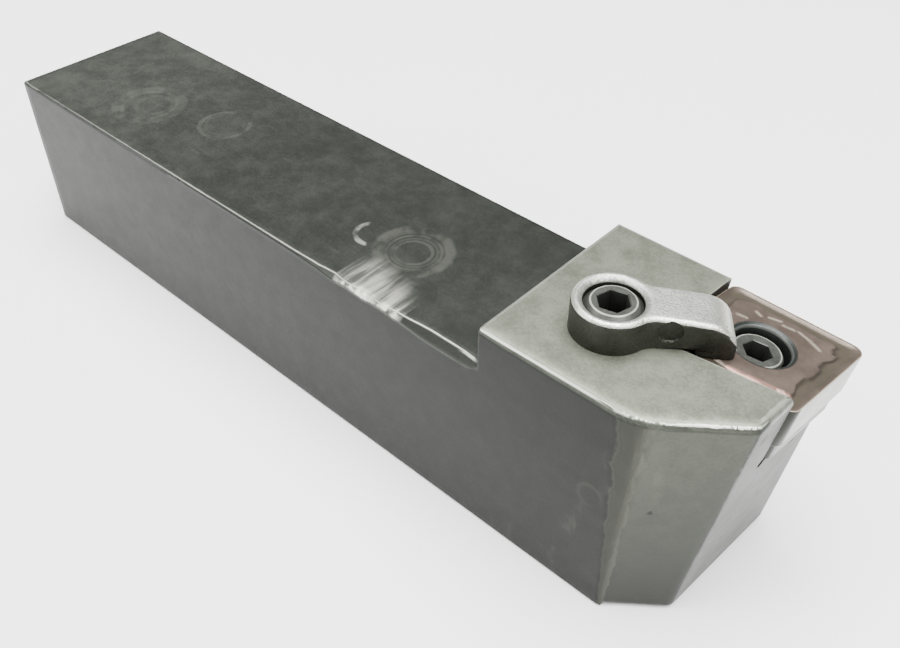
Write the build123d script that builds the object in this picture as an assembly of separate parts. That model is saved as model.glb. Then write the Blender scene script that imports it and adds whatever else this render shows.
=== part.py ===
from build123d import *
from math import asin, cos, degrees, radians, sin, sqrt, tan
import os

os.makedirs("parts", exist_ok=True)

# Turning tool holder: a square shank with a raised cutting head, which carries a tilted rhombic
# insert on a seat. A lock pin holds the insert by its hole and a top clamp holds it from above.
# Lengths are in millimetres and angles in degrees. +X runs along the shank to the cutting end,
# +Y to the cutting side and +Z up. The origin lies on the underside, in the middle of the shank.

# Shank
SHANK_WIDTH = 31.75
SHANK_HEIGHT = 31.75
SHANK_LENGTH = 117.3
SHANK_EDGE = 0.6
BACK_EDGE = 1.0

# Head
HEAD_RISE = 6.85
HEAD_RELIEF = 0.1
CORNER_REACH = 24.4
CORNER_ANGLE = 39.0
CORNER_LEAN = 0.5
CORNER_ROUND = 9.0
CORNER_FOOT_ROUND = 1.5
FRONT_INSET = 0.75
FRONT_ROUND = 1.8
FACET_ANGLE = 45.0
FACET_FOOT = 2.2
FACET_TOP = 3.0
RIM_ROUND = 0.9
HEAD_EDGE = 0.4
BOTTOM_EDGE = 1.3

# Insert and its seat
INSERT_CIRCLE = 19.05
INSERT_ANGLE = 80.0
INSERT_THICKNESS = 6.35
INSERT_CORNER = 1.6
INSERT_HOLE = 7.93
INSERT_SINK = 0.45
SEAT_THICKNESS = 3.18
SEAT_INSET = 0.4
SEAT_CORNER = 2.4
TILT = 6.0
EDGE_ANGLE = 6.2
NOSE_REACH = 37.9
NOSE_OVERHANG = 3.55
NOSE_RISE = 2.55

# Chip groove pressed into both faces of the insert
GROOVE_LAND = 0.35
GROOVE_WIDTH = 2.1
GROOVE_DEPTH = 0.3
GROOVE_SLOPE = 25.0
SCALLOP_RADIUS = 1.4
SCALLOP_HEIGHT = 0.5
SCALLOP_PLACES = -0.25, 0.05, 0.3

# Pocket
WALL_GAP = 0.03
RELIEF_RADIUS = 0.7
CORNER_RELIEF = 1.6

# Lock pin
PIN_HEAD = 7.1
PIN_SINK = 1.1
PIN_THREAD = 6.35
PIN_DEPTH = 13.0
PIN_SOCKET = 3.57
PIN_SOCKET_DEPTH = 3.4
PIN_EDGE = 0.35

# Clamp screw
SCREW_THREAD = 7.94
SCREW_DEPTH = 14.0
SCREW_SINK = 0.5
SCREW_EDGE = 0.95
SCREW_SOCKET = 3.97
SCREW_SOCKET_DEPTH = 5.0
SCREW_BACK = 15.4
SCREW_SIDE = 12.9

# Clamp
BOSS_RADIUS = 5.5
BOSS_HEIGHT = 5.0
ARM_ANGLE = 36.5
ARM_WIDTH = 6.9
ARM_LENGTH = 16.4
ARM_DROP = 0.8
NOSE_ROUND = 4.4
NOSE_CORNER = 2.3
WAIST_ROUND = 3.4
ARCH_HEIGHT = 0.4
PAD_LENGTH = 3.2
CLAMP_EDGE = 0.8
DIMPLE_RADIUS = 1.6
DIMPLE_REACH = 7.1
DIMPLE_RISE = 2.85
DIMPLE_DEPTH = 0.3

# Clearances
THREAD_GAP = 0.05
PIN_GAP = 0.15
CLAMP_GAP = 0.04
SEAT_HOLE_GAP = 0.15
HOLE_END = 2.0

STEP_X = SHANK_LENGTH / 2
PLAIN_Y = -SHANK_WIDTH / 2
CUT_Y = SHANK_WIDTH / 2
HEAD_TOP = SHANK_HEIGHT + HEAD_RISE
SLOPE = tan(radians(TILT))
INSERT_SIDE = INSERT_CIRCLE / sin(radians(INSERT_ANGLE))
INSERT_LEAN = INSERT_CIRCLE / tan(radians(INSERT_ANGLE))
PLENTY = 2 * (NOSE_REACH + INSERT_SIDE)

NOSE = Vector(STEP_X + NOSE_REACH, CUT_Y + NOSE_OVERHANG, SHANK_HEIGHT + NOSE_RISE)


def insert_plane():
    """Plane of the insert's top face: origin at its centre, x back along the side edge, y inward."""
    back = cos(radians(EDGE_ANGLE))
    side = sin(radians(EDGE_ANGLE))
    edge = Vector(-back, -side, SLOPE * (back + side)).normalized()
    normal = Vector(SLOPE, SLOPE, 1).normalized()
    inward = normal.cross(edge)
    centre = NOSE + edge * (INSERT_SIDE + INSERT_LEAN) / 2 + inward * INSERT_CIRCLE / 2
    return Plane(origin=centre, x_dir=edge, z_dir=normal)


TOP = insert_plane()
FLOOR_DEPTH = INSERT_THICKNESS + SEAT_THICKNESS
PIN_SHIFT = (INSERT_HOLE - PIN_HEAD) / 2 - PIN_GAP
SCREW_X = TOP.origin.X - SCREW_BACK
SCREW_Y = TOP.origin.Y - SCREW_SIDE


def rhombus(circle, corner):
    """Insert outline about its own centre, with its corners rounded."""
    side = circle / sin(radians(INSERT_ANGLE))
    lean = circle / tan(radians(INSERT_ANGLE))
    points = (0, 0), (side, 0), (side + lean, circle), (lean, circle)
    outline = Polygon(*points, align=(Align.CENTER, Align.CENTER))
    return fillet(outline.vertices(), corner)


def hex_socket(across, depth):
    """Hexagon socket whose mouth is at z = 0."""
    return extrude(RegularPolygon(across / sqrt(3), 6), -depth)


def shank():
    """Square bar, with its long top edges and its back end broken."""
    bar = Box(SHANK_LENGTH, SHANK_WIDTH, SHANK_HEIGHT, align=(Align.CENTER, Align.CENTER, Align.MIN))
    bar = chamfer(bar.faces().sort_by(Axis.Z)[-1].edges().filter_by(Axis.X), SHANK_EDGE)
    return chamfer(bar.faces().sort_by(Axis.X)[0].edges(), BACK_EDGE)


def front_plane():
    """Front face of the head, parallel to the insert's front flank and set back from it."""
    flank = TOP.x_dir.rotate(Axis((0, 0, 0), TOP.z_dir), INSERT_ANGLE)
    outward = TOP.z_dir.cross(flank)
    return Plane(origin=NOSE - outward * FRONT_INSET, x_dir=flank, z_dir=outward)


def on_front(y, z):
    """Point of the front face at a given place across and height."""
    face = front_plane()
    normal = face.z_dir
    x = face.origin.X - (normal.Y * (y - face.origin.Y) + normal.Z * (z - face.origin.Z)) / normal.X
    return Vector(x, y, z)


def facet_plane():
    """Relief facet on the head's corner under the nose, wider at the top than at the foot."""
    foot = on_front(CUT_Y - FACET_FOOT, 0)
    top = on_front(CUT_Y - FACET_TOP, NOSE.Z)
    across = Vector(-cos(radians(FACET_ANGLE)), sin(radians(FACET_ANGLE)), 0)
    return Plane(origin=foot, x_dir=across, z_dir=across.cross(top - foot))


def upright_edge(solid, x, y):
    """Upright edge whose middle lies nearest to a place in plan."""
    upright = [e for e in solid.edges() if abs((e % 0.5).Z) > 0.9]
    return min(upright, key=lambda e: (e.center().X - x) ** 2 + (e.center().Y - y) ** 2)


def head_section(height, corner_x, radius):
    """Plan of the head at one height: a rectangle with a long angled corner, rounded off."""
    reach = NOSE_REACH + PLENTY
    rise = (STEP_X + reach - corner_x) * tan(radians(CORNER_ANGLE))
    outline = Polygon(
        (STEP_X, PLAIN_Y),
        (corner_x, PLAIN_Y),
        (STEP_X + reach, PLAIN_Y + rise),
        (STEP_X + reach, CUT_Y + rise),
        (STEP_X, CUT_Y + rise),
        align=None,
    )
    corner = outline.vertices().sort_by_distance((corner_x, PLAIN_Y, 0))[0]
    return Pos(0, 0, height) * fillet(corner, radius)


def head_block():
    """Head before its pocket: its plain side and leaning corner, cut by the far side and the front."""
    top_x = STEP_X + CORNER_REACH
    foot_x = top_x - HEAD_TOP * tan(radians(CORNER_LEAN)) / sin(radians(CORNER_ANGLE))
    foot = head_section(0, foot_x, CORNER_FOOT_ROUND)
    block = loft([foot, head_section(HEAD_TOP, top_x, CORNER_ROUND)], ruled=True)
    far_side = Plane(origin=(STEP_X, CUT_Y - HEAD_RELIEF, 0), z_dir=(0, 1, 0))
    for plane in far_side, front_plane(), facet_plane():
        block = split(block, plane, keep=Keep.BOTTOM)
    front = block.faces().sort_by(Axis.X)[-1].center()
    return fillet(upright_edge(block, front.X, PLAIN_Y + front.Y), FRONT_ROUND)


def soften_head(body):
    """Rounded foot, a rounded rim on the plain and the angled side, finer rounds on the other edges."""
    foot = [e for e in body.edges() if abs(e.center().Z) < HEAD_EDGE / 10]
    body = fillet([e for e in foot if e.center().X > STEP_X + CORNER_REACH], BOTTOM_EDGE)
    top = body.faces().sort_by(Axis.Z)[-1]
    body = fillet([e for e in top.edges() if e.center().Y < PLAIN_Y + SHANK_WIDTH / 4], RIM_ROUND)
    top = body.faces().sort_by(Axis.Z)[-1]
    return fillet([e for e in top.edges() if e.center().Y > PLAIN_Y + SHANK_WIDTH / 4], HEAD_EDGE)


def insert_prism(inset, depth, height):
    """Upright prism on the pocket's walls: everything in front of them, from depth to height."""
    half = INSERT_CIRCLE / 2 + inset
    lean = half / tan(radians(INSERT_ANGLE))
    across = half / sin(radians(INSERT_ANGLE))
    corner = Vector(across + lean, half)
    side = Vector(-PLENTY, 0)
    back = Vector(-PLENTY * cos(radians(INSERT_ANGLE)), -PLENTY * sin(radians(INSERT_ANGLE)))
    outline = Polygon(corner, corner + side, corner + side + back, corner + back, align=None)
    return Pos(0, 0, -depth) * extrude(outline, depth + height)


def pocket():
    """Tilted pocket: the room for insert and seat, with its relieved inner corners."""
    room = insert_prism(WALL_GAP, FLOOR_DEPTH, HEAD_TOP)
    half = INSERT_CIRCLE / 2
    corner_x = (INSERT_SIDE + INSERT_LEAN) / 2
    drill = Pos(corner_x, half, -FLOOR_DEPTH) * Cylinder(
        CORNER_RELIEF, HEAD_TOP, align=(Align.CENTER, Align.CENTER, Align.MIN)
    )
    groove = Rot(0, -90, 0) * Cylinder(RELIEF_RADIUS, PLENTY, align=(Align.CENTER, Align.CENTER, Align.MIN))
    side_groove = Pos(corner_x, half, -FLOOR_DEPTH) * groove
    back_groove = Pos(corner_x, half, -FLOOR_DEPTH) * Rot(0, 0, INSERT_ANGLE) * groove
    return TOP * (room + drill + side_groove + back_groove)


def pin_axis(depth):
    """Plane across the lock pin, set over from the insert's centre towards the pocket's corner."""
    half_angle = radians(INSERT_ANGLE / 2)
    return TOP * Pos(PIN_SHIFT * cos(half_angle), PIN_SHIFT * sin(half_angle), -depth)


def tapped_hole(radius, depth):
    """Round hole down from z = 0, with a drill point at its end."""
    flat = Align.CENTER, Align.CENTER, Align.MAX
    bore = Cylinder(radius + THREAD_GAP, depth, align=flat)
    point = Cone(radius, 0.2 * radius, HOLE_END, align=(Align.CENTER, Align.CENTER, Align.MIN))
    return bore + Pos(0, 0, -depth) * Rot(180, 0, 0) * point


def holder_body():
    """Shank and head in one piece, with the pocket and the two tapped holes."""
    body = soften_head(shank() + head_block())
    pin_hole = pin_axis(FLOOR_DEPTH) * tapped_hole(PIN_THREAD / 2, PIN_DEPTH + HOLE_END)
    screw_hole = Pos(SCREW_X, SCREW_Y, HEAD_TOP) * tapped_hole(SCREW_THREAD / 2, SCREW_DEPTH + HOLE_END)
    return body - pocket() - pin_hole - screw_hole


def scalloped_plateau():
    """Raised middle of the insert's face, with round scallops spaced along its four sides."""
    circle = INSERT_CIRCLE - 2 * (GROOVE_LAND + GROOVE_WIDTH)
    plateau = rhombus(circle, INSERT_CORNER)
    half_angle = radians(INSERT_ANGLE / 2)
    diagonal = Plane(origin=(0, 0, 0), z_dir=(-sin(half_angle), cos(half_angle), 0))
    for share in SCALLOP_PLACES:
        reach = circle / 2 + SCALLOP_HEIGHT - SCALLOP_RADIUS
        scallop = Pos(share * INSERT_SIDE, reach) * Circle(SCALLOP_RADIUS)
        pair = scallop + mirror(scallop, diagonal)
        plateau += pair + Rot(0, 0, 180) * pair
    return plateau


def chip_groove():
    """Ring pressed into one face of the insert, between its edge land and the plateau."""
    land = rhombus(INSERT_CIRCLE - 2 * GROOVE_LAND, INSERT_CORNER)
    return extrude(land - scalloped_plateau(), -GROOVE_DEPTH, taper=GROOVE_SLOPE)


def cutting_insert():
    """Rhombic insert with a chip groove on both faces and a round hole."""
    blank = extrude(rhombus(INSERT_CIRCLE, INSERT_CORNER), -INSERT_THICKNESS)
    groove = chip_groove()
    under = Pos(0, 0, -INSERT_THICKNESS) * mirror(groove, Plane.XY)
    hole = Cylinder(INSERT_HOLE / 2, 3 * INSERT_THICKNESS)
    sink = Cone(INSERT_HOLE / 2, INSERT_HOLE / 2 + INSERT_SINK, INSERT_SINK)
    mouth = Pos(0, 0, -INSERT_SINK / 2) * sink
    back = Pos(0, 0, INSERT_SINK / 2 - INSERT_THICKNESS) * Rot(180, 0, 0) * sink
    return TOP * (blank - groove - under - hole - mouth - back)


def shim_seat():
    """Plain rhombic seat under the insert, with a hole for the lock pin's thread."""
    blank = extrude(rhombus(INSERT_CIRCLE - 2 * SEAT_INSET, SEAT_CORNER), -SEAT_THICKNESS)
    hole = Cylinder(PIN_THREAD / 2 + SEAT_HOLE_GAP, 3 * SEAT_THICKNESS)
    return TOP * Pos(0, 0, -INSERT_THICKNESS) * blank - pin_axis(INSERT_THICKNESS) * hole


def lock_pin():
    """Threaded pin: its head leans on the insert's hole and its shoulder holds the seat down."""
    down = Align.CENTER, Align.CENTER, Align.MAX
    head = Cylinder(PIN_HEAD / 2, INSERT_THICKNESS - PIN_SINK, align=down)
    head = chamfer(head.edges().sort_by(Axis.Z)[-1], PIN_EDGE)
    thread = Cylinder(PIN_THREAD / 2, FLOOR_DEPTH - PIN_SINK + PIN_DEPTH, align=down)
    thread = chamfer(thread.edges().sort_by(Axis.Z)[0], PIN_EDGE)
    return pin_axis(PIN_SINK) * (head + thread - hex_socket(PIN_SOCKET, PIN_SOCKET_DEPTH))


def clamp_screw():
    """Double-ended screw through the clamp's boss into the head, with a socket in its upper end."""
    length = BOSS_HEIGHT - SCREW_SINK + SCREW_DEPTH
    body = Cylinder(SCREW_THREAD / 2, length, align=(Align.CENTER, Align.CENTER, Align.MAX))
    body = chamfer(body.edges().filter_by(GeomType.CIRCLE), SCREW_EDGE)
    body -= hex_socket(SCREW_SOCKET, SCREW_SOCKET_DEPTH)
    return Pos(SCREW_X, SCREW_Y, HEAD_TOP + BOSS_HEIGHT - SCREW_SINK) * body


def clamp_outline():
    """Plan of the clamp: round boss, waisted arm and blunt nose, with the arm along x."""
    arm = Rectangle(ARM_LENGTH, ARM_WIDTH, align=(Align.MIN, Align.CENTER))
    arm = fillet(arm.vertices().sort_by(Axis.X)[-2:], NOSE_CORNER)
    outline = Circle(BOSS_RADIUS) + arm
    waist = [v for v in outline.vertices() if 0 < v.X < BOSS_RADIUS]
    return fillet(waist, WAIST_ROUND)


def clamp_profile():
    """Side view of the clamp: level boss, falling back, hooked nose and arched underside."""
    run = ARM_LENGTH - NOSE_ROUND
    fall_radius = (run**2 + ARM_DROP**2) / (2 * ARM_DROP)
    fall_angle = degrees(asin(run / fall_radius))
    pad = ARM_LENGTH - PAD_LENGTH
    tip = -HEAD_RISE
    level = Line((-BOSS_RADIUS, BOSS_HEIGHT), (0, BOSS_HEIGHT))
    fall = JernArc(level @ 1, level % 1, fall_radius, -fall_angle)
    nose = JernArc(fall @ 1, fall % 1, NOSE_ROUND, fall_angle - 90)
    hook = Polyline(nose @ 1, ((nose @ 1).X, tip), (pad, tip), (pad, 0))
    arch = ThreePointArc((pad, 0), ((pad + BOSS_RADIUS) / 2, ARCH_HEIGHT), (BOSS_RADIUS, 0))
    heel = Polyline((BOSS_RADIUS, 0), (-BOSS_RADIUS, 0), (-BOSS_RADIUS, BOSS_HEIGHT))
    return make_face(level + fall + nose + hook + arch + heel)


def upper_rim(body):
    """Edges where the clamp's sides meet its top and its nose, without the seams across them."""
    rim = [e for e in body.edges() if e.center().Z > BOSS_HEIGHT / 2 and abs((e % 0.5).Z) < 0.97]
    return [e for e in rim if abs(e.center().Y) > DIMPLE_DEPTH or e.center().X < 0]


def clamp():
    """Forged top clamp, whose nose bears on the insert between its hole and the pocket's corner."""
    upright = extrude(Plane.XZ * clamp_profile(), 2 * BOSS_RADIUS, both=True)
    body = extrude(clamp_outline(), 2 * HEAD_TOP, both=True) & upright
    body = fillet(upper_rim(body), CLAMP_EDGE)
    dimple = Rot(90, 0, 0) * Cylinder(DIMPLE_RADIUS, 2 * DIMPLE_DEPTH)
    body -= Pos(DIMPLE_REACH, -ARM_WIDTH / 2, DIMPLE_RISE) * dimple
    body -= Cylinder(SCREW_THREAD / 2 + THREAD_GAP, 4 * BOSS_HEIGHT)
    place = Pos(SCREW_X, SCREW_Y, HEAD_TOP) * Rot(0, 0, ARM_ANGLE)
    return place * body - TOP * insert_prism(0, FLOOR_DEPTH, CLAMP_GAP)


def export(node, solid):
    """Write one node's STEP file."""
    solid.label = node
    export_step(solid, f"parts/{node}.step")


export("holder_body", holder_body())
export("shim_seat", shim_seat())
export("cutting_insert", cutting_insert())
export("lock_pin", lock_pin())
export("clamp", clamp())
export("clamp_screw", clamp_screw())
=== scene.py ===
"""Turning tool holder: forged clamp, brown coated rhombic insert, worn steel shank."""

import math

import bmesh
import bpy
import numpy as np
from bpy.props import FloatProperty, FloatVectorProperty, PointerProperty
from mathutils import Matrix, Vector, noise
from mathutils.kdtree import KDTree


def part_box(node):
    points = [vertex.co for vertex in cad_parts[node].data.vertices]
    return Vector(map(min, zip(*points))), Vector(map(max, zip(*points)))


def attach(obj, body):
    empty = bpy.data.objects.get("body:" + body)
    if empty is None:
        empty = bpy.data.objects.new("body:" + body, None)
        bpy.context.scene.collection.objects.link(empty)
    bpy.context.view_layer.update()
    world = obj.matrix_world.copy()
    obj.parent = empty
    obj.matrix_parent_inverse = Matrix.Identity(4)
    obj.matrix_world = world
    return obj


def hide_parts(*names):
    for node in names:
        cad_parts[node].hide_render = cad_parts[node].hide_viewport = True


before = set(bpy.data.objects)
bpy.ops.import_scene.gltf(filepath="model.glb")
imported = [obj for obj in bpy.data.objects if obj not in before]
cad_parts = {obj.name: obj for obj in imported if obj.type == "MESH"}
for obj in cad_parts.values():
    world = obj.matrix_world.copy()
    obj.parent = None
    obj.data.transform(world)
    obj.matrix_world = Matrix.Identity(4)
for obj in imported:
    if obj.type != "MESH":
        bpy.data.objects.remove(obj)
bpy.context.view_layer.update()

bl_info = {
    "name": "Turning Tool Holder",
    "version": (1, 0, 0),
    "blender": (4, 5, 0),
    "location": "3D View > Sidebar > Tool Holder",
    "description": "Dresses the holder, its insert, clamp, pin and screw, and sets the bench under them",
    "category": "Object",
}

MM = 0.001

# Places and sizes of the solids, in millimetres.
SHANK_TOP = 31.75
SHANK_HALF = 15.875
BACK_X = -58.65
STEP_X = 58.65
NOSE_X = 96
HEAD_TOP = 38.6
HEAD_LOW = 34
RIM_LOW = 35.5
CORNER_X = 83.05
CORNER_SLOPE = math.tan(math.radians(39))
FRONT_POINT = Vector((95.8052, 19.4745, 34.3731))
FRONT_OUT = Vector((0.993048, -0.066047, -0.097432))
FACET_POINT = Vector((92.047, 13.675, 0))
FACET_OUT = Vector((0.70616, 0.70616, -0.051718))
TOP_BEVEL = 0.6

# The insert lies on a plane that falls towards the nose both ways, its front edge a little askew.
TILT = math.tan(math.radians(6))
EDGE_ANGLE = math.radians(6.2)
EDGE_FALL = TILT * (math.cos(EDGE_ANGLE) + math.sin(EDGE_ANGLE))
INSERT_CENTRE = Vector((86.4646, 8.78908, 36.4779))
INSERT_UP = Vector((TILT, TILT, 1)).normalized()
INSERT_BACK = Vector((-math.cos(EDGE_ANGLE), -math.sin(EDGE_ANGLE), EDGE_FALL)).normalized()
INSERT_INWARD = INSERT_UP.cross(INSERT_BACK)
INSERT_CIRCLE = 19.05
INSERT_CORNER = 1.6
INSERT_THICKNESS = 6.35
INSERT_ANGLE = math.radians(80)
INSERT_SIDE = INSERT_CIRCLE / math.sin(INSERT_ANGLE)
INSERT_LEAN = 1 / math.tan(INSERT_ANGLE)
INSERT_HOLE = 3.965

PIN_AXIS = Vector((86.2842, 8.59887, 36.5168))
SCREW_AXIS = Vector((71.06461, -4.110919, HEAD_TOP))
CLAMP_TURN = math.radians(36.5)

# Marks on the shank's top.
SCRAPE_START = 31.3
SCRAPE_END = 43.8
SCRAPE_MIDDLE = 37
SCRAPE_REACH = 7.8
HOOK_X = 27.3
HOOK_Y = -4.4

# The insert's mesh: rings across the groove, the level floor and the hole's mouth.
PER_GROOVE = 12
PER_FLOOR = 18
PER_MOUTH = 5
# Rings at the groove's inner wall, with the strength of their shade.
WALL_RINGS = ((12, 0.35), (13, 0.9), (14, 1.0), (15, 0.5))
# Painted pink highlight strip along the pocket's wall, in the insert's own plan.
ROSY_START = (1.6, 7.7, 0)
ROSY_END = (-6.2, 7.0, 0)

# The clamp in its own frame, about the screw's axis and above the head's top.
CLAMP_TOP = 5.0
CLAMP_FALL = 0.8
CLAMP_FALL_REACH = 12.0
CLAMP_BORE = 4.0
DIMPLE = (7.1, -3.45, 2.85)
DIMPLE_RADIUS = 1.6
ARCH_START = 5.6

# A distance that counts as far from every edge.
FAR = 9.0
ORIGIN = (0.0, 0.0, 0.0)


# ---------------------------------------------------------------- node helpers


class Wire:
    """A node's output, which the usual signs carry on into arithmetic nodes."""

    def __init__(self, socket):
        self.socket = socket
        self.tree = socket.id_data

    def calc(self, operation, other=0.0, clamp=False):
        """One step of arithmetic."""
        return put(self.tree, "ShaderNodeMath", {0: self, 1: other}, operation=operation, use_clamp=clamp)

    def __add__(self, other):
        return self.calc("ADD", other)

    def __sub__(self, other):
        return self.calc("SUBTRACT", other)

    def __mul__(self, other):
        return self.calc("MULTIPLY", other)

    def __truediv__(self, other):
        return self.calc("DIVIDE", other)

    def __abs__(self):
        return self.calc("ABSOLUTE")


def fill(node, sockets):
    """Gives a node's sockets their values, or links them."""
    for key, value in dict(sockets).items():
        if isinstance(value, Wire):
            node.id_data.links.new(value.socket, node.inputs[key])
        else:
            node.inputs[key].default_value = value


def put(tree, kind, sockets=(), out=0, **settings):
    """One output of a new node that has its settings and its sockets filled."""
    node = tree.nodes.new(kind)
    for name, value in settings.items():
        setattr(node, name, value)
    fill(node, sockets)
    return Wire(node.outputs[out])


def largest(first, *others):
    """The largest of several values."""
    for other in others:
        first = first.calc("MAXIMUM", other)
    return first


def vector(operation, first, second=ORIGIN):
    """One step of vector arithmetic, whose result may be a plain number."""
    out = "Value" if operation in {"LENGTH", "DISTANCE", "DOT_PRODUCT"} else 0
    return put(first.tree, "ShaderNodeVectorMath", {0: first, 1: second}, out, operation=operation)


def parts(place):
    """The x, y and z of a vector."""
    node = put(place.tree, "ShaderNodeSeparateXYZ", {0: place}).socket.node
    return [Wire(socket) for socket in node.outputs]


def joined(x, y, z):
    """A vector from its x, y and z."""
    return put(x.tree, "ShaderNodeCombineXYZ", {0: x, 1: y, 2: z})


def fade(value, start, end, low=0.0, high=1.0):
    """Smooth change from low to high while value goes from start to end."""
    sockets = {"Value": value, "From Min": start, "From Max": end, "To Min": low, "To Max": high}
    return put(value.tree, "ShaderNodeMapRange", sockets, interpolation_type="SMOOTHSTEP")


def mixed(factor, first, second):
    """Colour between two colours."""
    return put(factor.tree, "ShaderNodeMix", {0: factor, 6: first, 7: second}, 2, data_type="RGBA")


def grain(place, scale, detail=4.0, rough=0.55):
    """Noise whose scale is in features to the metre."""
    sockets = {"Vector": place, "Scale": scale, "Detail": detail, "Roughness": rough}
    return put(place.tree, "ShaderNodeTexNoise", sockets, "Fac")


def stretched(place, turn, scale):
    """Coordinates turned and stretched, for marks that run one way."""
    return put(place.tree, "ShaderNodeMapping", {"Vector": place, "Rotation": turn, "Scale": scale})


def attribute(place, name):
    """A value stored on the vertices, for the finish that the coordinates belong to."""
    return put(place.tree, "ShaderNodeAttribute", (), "Fac", attribute_name=name)


# --------------------------------------------------------------- shader groups


def group_inputs(tree):
    """Wires from a group's inputs, by name."""
    return {socket.name: Wire(socket) for socket in tree.nodes.new("NodeGroupInput").outputs if socket.name}


def group_tree(name, inputs, outputs):
    """Empty shader group whose sockets take their kind from their defaults: input wires, output node."""
    tree = bpy.data.node_groups.new(name, "ShaderNodeTree")
    kinds = {1: "NodeSocketFloat", 3: "NodeSocketVector", 4: "NodeSocketColor"}
    for way, defaults in (("INPUT", inputs), ("OUTPUT", outputs)):
        for label, default in defaults.items():
            socket = tree.interface.new_socket(label, in_out=way, socket_type=kinds[np.size(default)])
            socket.default_value = default
    return group_inputs(tree), tree.nodes.new("NodeGroupOutput")


def edge_wear_and_highlight_group():
    """Bright broken line along edges, from the distance to the nearest edge in millimetres."""
    given, out = group_tree(
        "Edge wear and highlight", {"Place": ORIGIN, "Distance": FAR, "Reach": 0.6, "Break-up": 0.5}, {"Mask": 0.0}
    )
    ragged = grain(given["Place"], 420, 5, 0.65) - 0.5
    near = given["Distance"] / given["Reach"] + ragged * (given["Break-up"] * 3.0)
    fill(out, {"Mask": fade(near, 1.0, 0.35)})


def mottle_group():
    """Blotched dark oxide: broad cloud, small blotches and a fine speckle."""
    given, out = group_tree(
        "Mottled oxide",
        {"Place": ORIGIN, "Dark": (0.1, 0.1, 0.1, 1), "Light": (0.2, 0.2, 0.2, 1), "Strength": 1.0},
        {"Color": (0, 0, 0, 1), "Height": 0.0},
    )
    cloud = grain(given["Place"], 55, 3, 0.5)
    blotch = grain(given["Place"], 330, 4, 0.6)
    speck = grain(given["Place"], 2600, 3, 0.7)
    summed = cloud * 0.32 + blotch * 0.36 + speck * 0.32
    factor = fade((summed - 0.5) * given["Strength"], -0.2, 0.2)
    fill(out, {"Color": mixed(factor, given["Dark"], given["Light"]), "Height": speck + blotch})


def scratch_group():
    """Fine scratches that run mostly one way."""
    given, out = group_tree(
        "Fine scratches",
        {"Place": ORIGIN, "Turn": ORIGIN, "Length": 0.03, "Density": 2400.0},
        {"Mask": 0.0},
    )
    along = stretched(given["Place"], given["Turn"], joined(given["Length"], 1.0, 1.0))
    fill(out, {"Mask": fade(grain(along, given["Density"], 2.0, 0.5), 0.58, 0.74)})


def ring_group():
    """Rubbed ring on a level face: a soft circle about a centre given in metres."""
    given, out = group_tree(
        "Rubbed ring",
        {"Place": ORIGIN, "Centre": ORIGIN, "Radius": 0.005, "Width": 0.0004},
        {"Mask": 0.0},
    )
    level = vector("MULTIPLY", vector("SUBTRACT", given["Place"], given["Centre"]), (1, 1, 0))
    away = abs(vector("LENGTH", level) - given["Radius"])
    wobble = grain(given["Place"], 500, 3) * given["Width"]
    patchy = fade(grain(given["Place"], 240, 3), 0.36, 0.56)
    fill(out, {"Mask": fade((away - wobble) / given["Width"], 1.0, 0.0) * patchy})


def shader_groups():
    """All the shader groups that more than one finish uses."""
    for maker in edge_wear_and_highlight_group, mottle_group, scratch_group, ring_group:
        maker()


def use_group(name, place, sockets):
    """Outputs of a shader group placed in a finish, by name."""
    node = place.tree.nodes.new("ShaderNodeGroup")
    node.node_tree = bpy.data.node_groups[name]
    fill(node, {"Place": place, **sockets})
    return {socket.name: Wire(socket) for socket in node.outputs}


def mottle(place, dark, light, strength=1.0):
    """Colour and height of blotched steel."""
    sockets = {"Dark": dark, "Light": light, "Strength": strength}
    outputs = use_group("Mottled oxide", place, sockets)
    return outputs["Color"], outputs["Height"]


def edge_line(place, reach, break_up):
    """Bright broken line along the edges that the vertices know of."""
    sockets = {"Distance": attribute(place, "edge_mm"), "Reach": reach, "Break-up": break_up}
    return use_group("Edge wear and highlight", place, sockets)["Mask"]


def scratches(place, sockets):
    """Fine scratches over a finish."""
    return use_group("Fine scratches", place, sockets)["Mask"]


def ring(place, x, y, radius, width):
    """Rubbed ring whose centre and sizes are in millimetres."""
    sockets = {"Centre": (x * MM, y * MM, 0), "Radius": radius * MM, "Width": width * MM}
    return use_group("Rubbed ring", place, sockets)["Mask"]


# ------------------------------------------------------------------- finishes


def new_finish(name):
    """New material, and the object coordinates in its tree."""
    material = bpy.data.materials.new(name)
    material.use_nodes = True
    return material, put(material.node_tree, "ShaderNodeTexCoord", (), "Object")


def dress(material, colour, metallic, rough, relief, depth, strength):
    """Joins a finish to its surface shader; the relief's depth is in metres."""
    tree = material.node_tree
    bump = put(tree, "ShaderNodeBump", {"Height": relief, "Distance": depth, "Strength": strength})
    fill(
        tree.nodes["Principled BSDF"],
        {"Base Color": colour, "Metallic": metallic, "Roughness": rough, "Normal": bump},
    )
    return material


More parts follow.
